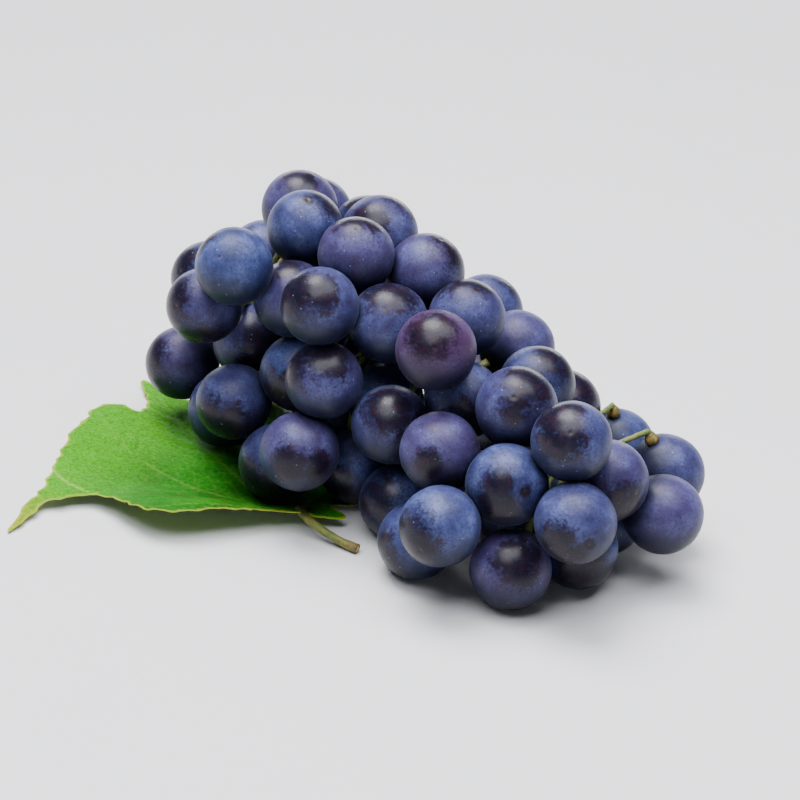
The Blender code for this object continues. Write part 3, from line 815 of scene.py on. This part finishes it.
def vineLeafBlade():
    # Vine leaf: soft, matt and mottled on top, paler below, with pale veins and a thin
    # yellow edge; a little light comes through it.
    material = newMaterial("vine_leaf_blade")
    tree = material.node_tree
    place = addNode(tree, "TexCoord").outputs["Object"]
    vein, rim, below, young, tip = [
        addNode(tree, "Attribute", {"attribute_name": name}).outputs["Fac"]
        for name in ("vein", "rim", "below", "young", "tip")]
    clouds = addNode(tree, "TexNoise", {"Scale": perMetre(leaf["cloudMm"]), "Detail": 3.0},
                     {"Vector": place})
    mottle = addNode(tree, "TexNoise",
                     {"Scale": perMetre(leaf["mottleMm"]), "Detail": 4.0, "Roughness": 0.7},
                     {"Vector": place})
    net = addNode(tree, "TexVoronoi",
                  {"feature": "DISTANCE_TO_EDGE", "Scale": perMetre(leaf["netMm"])},
                  {"Vector": place})
    dapple = addNode(tree, "MapRange",
                     {"From Min": 0.4, "From Max": 0.64, "To Min": 0.0, "To Max": leaf["freckle"]},
                     {"Value": mottle.outputs["Fac"]})
    netLine = addNode(tree, "MapRange",
                      {"From Min": 0.03, "From Max": 0.12, "To Min": 0.05, "To Max": 0.0},
                      {"Value": net.outputs["Distance"]})
    colour = addNode(tree, "ValToRGB",
                     {"stops": [(0.32, "#054600"), (0.5, "#0d6500"), (0.68, "#1d8000")]},
                     {"Fac": clouds.outputs["Fac"]}).outputs["Color"]
    for share, tint in ((young, "#429000"), (tip, "#8a8c18"), (dapple.outputs["Result"], "#083c00"),
                        (netLine.outputs["Result"], "#8fb84e"), (vein, "#a9bd55"),
                        (below, "#6d8a35"), (rim, "#bcbf38")):
        colour = addNode(tree, "Mix", {"data_type": "RGBA", 7: linear(tint)},
                         {0: share, 6: colour}).outputs[2]
    height = addNode(tree, "Math", {"operation": "MULTIPLY_ADD", 1: -0.8},
                     {0: netLine.outputs["Result"], 2: mottle.outputs["Fac"]})
    relief = addNode(tree, "Bump", {"Strength": 0.5, "Distance": mm(0.25)},
                     {"Height": height.outputs[0]})
    shader = addNode(tree, "BsdfPrincipled",
                     {"IOR": 1.4, "Roughness": 0.66, "Specular IOR Level": 0.12,
                      "Subsurface Weight": 0.1, "Subsurface Radius": (mm(2), mm(4), mm(1))},
                     {"Base Color": colour, "Normal": relief.outputs["Normal"]})
    addNode(tree, "OutputMaterial", None, {"Surface": shader.outputs[0]})
    return material


def evenSteps(corners, step, closed):
    # points at even distances along a line of corners
    route = np.array(corners, dtype=float)
    if closed:
        route = np.concatenate([route, route[:1]])
    lengths = np.linalg.norm(np.diff(route, axis=0), axis=1)
    along = np.concatenate([[0], np.cumsum(lengths)])
    count = max(2, int(round(along[-1] / step)))
    at = np.linspace(0, along[-1], count + 1)[:count if closed else count + 1]
    return np.stack([np.interp(at, along, route[:, k]) for k in range(route.shape[1])], 1)


def roundedCorners(corners, closed):
    # each corner is cut at a quarter of its sides, twice over
    route = np.array(corners, dtype=float)
    for turn in range(2):
        follow = np.roll(route, -1, axis=0)
        cut = np.stack([0.75 * route + 0.25 * follow, 0.25 * route + 0.75 * follow], 1)
        cut = cut.reshape(-1, route.shape[1])
        route = cut if closed else np.concatenate([route[:1], cut[:-2], route[-1:]])
    return route


teeth = {
    "mm": 6.5,          # from tooth to tooth along the edge
    "deepMm": 1.0,
    "apart": (0.55, 1.45),  # least and most, over the usual
    "deep": (0.4, 1.25),
    "peak": 0.7,        # where along a tooth its point stands
}


def toothed(edge, rng):
    # small pointed teeth, uneven in size, leaning one way
    ahead = np.roll(edge, -1, axis=0) - np.roll(edge, 1, axis=0)
    outward = np.stack([ahead[:, 1], -ahead[:, 0]], 1) / np.linalg.norm(ahead, axis=1)[:, None]
    along = np.arange(len(edge)) * leaf["edgeMm"]
    total = len(edge) * leaf["edgeMm"]
    starts = [0.0]
    while starts[-1] < total - 0.7 * teeth["mm"]:
        starts.append(starts[-1] + teeth["mm"] * rng.uniform(*teeth["apart"]))
    starts[-1] = total
    deep = np.array([rng.uniform(*teeth["deep"]) for start in starts])
    starts = np.array(starts)
    which = np.clip(np.searchsorted(starts, along, side="right") - 1, 0, len(starts) - 2)
    u = (along - starts[which]) / (starts[which + 1] - starts[which])
    peak = teeth["peak"]
    tooth = np.where(u < peak, (u / peak) ** 1.6, ((1 - u) / (1 - peak)) ** 1.2)
    return edge + outward * (teeth["deepMm"] * (tooth - 0.3) * deep[which])[:, None]


veins = {
    "mm": 1.0,          # width of a main vein at the petiole
    "stepMm": 1.5,      # between points along a vein
    "main": (1.0, 0.3, 0.45),      # width at its start and end, over the above, and paleness
    "fold": (1.0, 0.3, 1.3),
    "side": (0.5, 0.12, 0.22),
    "sideMm": 9.0,      # between side veins on one side
    "sideLong": 24.0,   # mm at most
    "sideReach": 0.6,   # length of a side vein, over what is left of the main one
    "leave": (50, 16),  # degrees that a side vein leaves at, and how much it turns forward
    "sunk": 0.08,       # mm, on top
    "proud": 0.25,      # mm, below
}


def veinRoutes(rng):
    # side veins leave each main vein in turn, left and right; the fold has none
    lines = []
    step = veins["stepMm"]
    for number, corners in enumerate(leafVeins):
        isFold = number == len(leafVeins) - 1
        route = evenSteps(roundedCorners(corners, False), step, False)
        lines.append((route, *veins["fold" if isFold else "main"]))
        if isFold:
            continue
        side = 1
        k = 6
        while k < len(route) - 4:
            way = unit(route[k + 1] - route[k])
            across = np.array([-way[1], way[0]]) * side
            reach = min(veins["sideLong"], (len(route) - k) * step * veins["sideReach"])
            steps = np.linspace(0, 1, 9)
            lean = np.radians(veins["leave"][0] - veins["leave"][1] * steps)
            rays = np.cos(lean)[:, None] * way + np.sin(lean)[:, None] * across
            lines.append((route[k] + rays * (reach * steps)[:, None], *veins["side"]))
            side = -side
            k += max(2, int(veins["sideMm"] * 0.5 / step * rng.uniform(0.8, 1.2)))
    return lines


def nearVeins(spots, lines):
    # how much of a vein lies here, and how much of the dip beside it
    best, broad = np.zeros(len(spots)), np.zeros(len(spots))
    for route, first, last, strength in lines:
        sizes = np.linspace(first, last, len(route))
        for k in range(len(route) - 1):
            a, span = route[k], route[k + 1] - route[k]
            t = np.clip(((spots - a) @ span) / (span @ span), 0, 1)
            gap = np.linalg.norm(spots - a - t[:, None] * span, axis=1)
            wide = veins["mm"] * (sizes[k] + (sizes[k + 1] - sizes[k]) * t)
            dip = 1.4 + 1.2 * wide   # mm from the vein
            best = np.maximum(best, strength * np.exp(-(gap / (0.5 * wide)) ** 2))
            broad = np.maximum(broad, np.exp(-(gap / dip) ** 2))
    return best, broad


def evened(values, pairs, rounds):
    # each value moves toward the mean of those it is joined to
    joined = np.bincount(pairs.ravel(), minlength=len(values))
    for turn in range(rounds):
        total = np.bincount(pairs[:, 0], values[pairs[:, 1]], len(values))
        total += np.bincount(pairs[:, 1], values[pairs[:, 0]], len(values))
        values = 0.5 * values + 0.5 * total / joined
    return values


def leafNet(edge, rng):
    # triangles that fill the outline, from a grid of slightly scattered points
    step = leaf["gridMm"]
    stray = 0.2
    low, high = edge.min(0), edge.max(0)
    grid = np.array([(x + rng.uniform(-stray, stray) * step, y + rng.uniform(-stray, stray) * step)
                     for y in np.arange(low[1], high[1], step * 0.87)
                     for x in np.arange(low[0], high[0], step)])
    inside = np.zeros(len(grid), dtype=bool)
    near = np.full(len(grid), np.inf)
    for a, b in zip(edge, np.roll(edge, -1, axis=0)):
        crosses = (a[1] > grid[:, 1]) != (b[1] > grid[:, 1])
        if crosses.any():
            at = a[0] + (grid[:, 1] - a[1]) * (b[0] - a[0]) / (b[1] - a[1])
            inside ^= crosses & (grid[:, 0] < at)
        near = np.minimum(near, np.linalg.norm(grid - a, axis=1))
    spots = np.concatenate([edge, grid[inside & (near > 0.55 * step)]])
    ring = [(k, (k + 1) % len(edge)) for k in range(len(edge))]
    found = delaunay_2d_cdt([Vector(p) for p in spots], ring, [], 1, 1e-6)
    spots = np.array([tuple(p) for p in found[0]])
    faces = []
    for a, b, c in found[2]:
        up = np.cross(spots[b] - spots[a], spots[c] - spots[a]) > 0
        faces.append((a, b, c) if up else (c, b, a))
    return spots, faces


def leafMiddle():
    # where the outline's own zero lies
    plain = cornersOf("vine_leaf")
    low, high = plain.min(0), plain.max(0)
    return low[:2] + (high - low)[:2] * np.array(leaf["middle"])


def plainHeights(world, faces):
    # heights come from the plain solid, then are evened out
    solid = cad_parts["vine_leaf"].data
    tree = BVHTree.FromPolygons([tuple(p) for p in cornersOf("vine_leaf")],
                                [tuple(p.vertices) for p in solid.polygons])
    top = np.zeros(len(world))
    for k, (x, y) in enumerate(world):
        hit = tree.ray_cast((x, y, mm(90)), (0, 0, -1))[0]
        if hit is None:    # a tooth that stands out past the solid
            hit = tree.find_nearest((x, y, mm(4)))[0]
        top[k] = hit[2]
    corners = np.array(faces)
    pairs = np.concatenate([corners[:, [0, 1]], corners[:, [1, 2]], corners[:, [2, 0]]])
    pairs = np.unique(np.sort(pairs, 1), axis=0)
    return evened(top, pairs, leaf["evenings"])


def ripple(spots, size, height):
    return np.array([noise.noise(Vector((x, y, height)) / size) for x, y in spots])


def growLeaf():
    rng = random.Random(11)
    edge = toothed(evenSteps(roundedCorners(leafEdge, True), leaf["edgeMm"], True), rng)
    edgeCount = len(edge)
    spots, faces = leafNet(edge, rng)
    world = spots / 1000 + leafMiddle()
    top = plainHeights(world, faces)
    vein, broad = nearVeins(spots, veinRoutes(rng))
    top += mm(leaf["quiltMm"]) * ((1 - broad) * (0.6 + 0.8 * ripple(spots, 9, 0)) - 0.4)
    creaseLong, creaseHigh = leaf["crinkle"]
    waveLong, waveHigh = leaf["wave"]
    top += (mm(creaseHigh) * ripple(spots, creaseLong, 30) - mm(veins["sunk"]) * vein
            + mm(waveHigh) * ripple(spots, waveLong, 60))
    for one in berries:    # the blade gives way to the berries that lie on it
        flat = np.linalg.norm(world - one["centre"][:2], axis=1)
        size = one["radius"] + mm(berry["plump"] + leaf["berryGap"])
        limit = one["centre"][2] - np.sqrt(np.maximum(size ** 2 - flat ** 2, 0))
        top = np.where((flat < size) & (top > limit), limit, top)
    toEdge = np.full(len(spots), np.inf)
    for a in edge:
        toEdge = np.minimum(toEdge, np.linalg.norm(spots - a, axis=1))
    thick = mm(leaf["thickMm"]) * (0.75 + 0.5 * broad) * (0.45 + 0.55 * smoothStep(0, 1.5, toEdge))
    top = np.maximum(top, mm(0.05) + thick)
    under = np.maximum(top - thick - mm(veins["proud"]) * np.minimum(vein, 1), mm(0.04))

    count = len(spots)
    points = np.concatenate([np.column_stack([world, top]), np.column_stack([world, under])])
    sides = [(k, count + k, count + (k + 1) % edgeCount, (k + 1) % edgeCount)
             for k in range(edgeCount)]
    allFaces = faces + [tuple(count + c for c in reversed(f)) for f in faces] + sides
    rim = smoothStep(leaf["rimMm"], 0.3 * leaf["rimMm"], toEdge)
    joint, lobeTip = np.array(leafVeins[0][0]), np.array(leafEdge[0])
    # the blade turns lighter with distance from the petiole
    young = smoothStep(leaf["lighterFrom"], leaf["lighterFull"], np.linalg.norm(spots - joint, axis=1))
    tip = 0.8 * smoothStep(leaf["tipFrom"], leaf["tipFull"],
                           np.linalg.norm(spots - lobeTip, axis=1))
    # each value on the top, then on the underside
    values = {
        "vein": np.minimum(np.r_[vein * 0.28, vein * 0.9], 1),
        "rim": np.r_[rim * 0.5, rim * 0.45],
        "young": np.r_[young, young],
        "tip": np.r_[tip, tip],
        "below": np.r_[np.zeros(count), np.full(count, leaf["grey"])],
    }
    blade = meshObject("leafBlade", points, allFaces, vineLeafBlade(), values)
    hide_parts("vine_leaf")
    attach(blade, "root")


def growPetiole(wood, pith):
    # out of the blade, down to the surface, with a cut end
    route = evenSteps(roundedCorners(petiole["route"], False), petiole["stepMm"], False) / 1000
    route[:, :2] += leafMiddle()
    count, sides = len(route), petiole["sides"]
    share = np.linspace(0, 1, count)
    swell = (petiole["cutSwell"] * smoothStep(0.75, 1, share)
             + petiole["bladeSwell"] * smoothStep(0.2, 0, share))
    radius = mm(petiole["wide"]) / 2 * (1 + swell)
    ahead = np.gradient(route, axis=0)
    points, woody = [], []
    for k, centre in enumerate(route):
        way = unit(ahead[k])
        side = unit(np.cross(way, (0, 0, 1)))
        rise = np.cross(side, way)
        for angle in np.arange(sides) / sides * 2 * math.pi:
            groove = 1 - petiole["groove"] * max(0.0, math.sin(angle)) ** 8
            spot = centre + (side * math.cos(angle) + rise * math.sin(angle)) * radius[k] * groove
            bump = 0.05 * noise.noise(Vector(spot) * perMetre(1.5))
            points.append(spot + (spot - centre) * bump)
            woody.append(0.1 + 0.6 * float(smoothStep(0.7, 1, share[k])))
    points = np.array(points)
    points[:, 2] = np.maximum(points[:, 2], mm(0.03))
    tube = meshObject("leafPetiole", points, tubeFaces(0, count, sides), wood, {"woody": woody})
    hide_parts("vine_leaf")
    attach(tube, "root")
    way = unit(route[-1] - route[-3])
    cutDisc("petioleCut", route[-1] - way * mm(0.1), way, radius[-1] * 0.92, pith, "vine_leaf")


growLeaf()
growPetiole(stalkWood, stalkPith)
print("leaf grown")
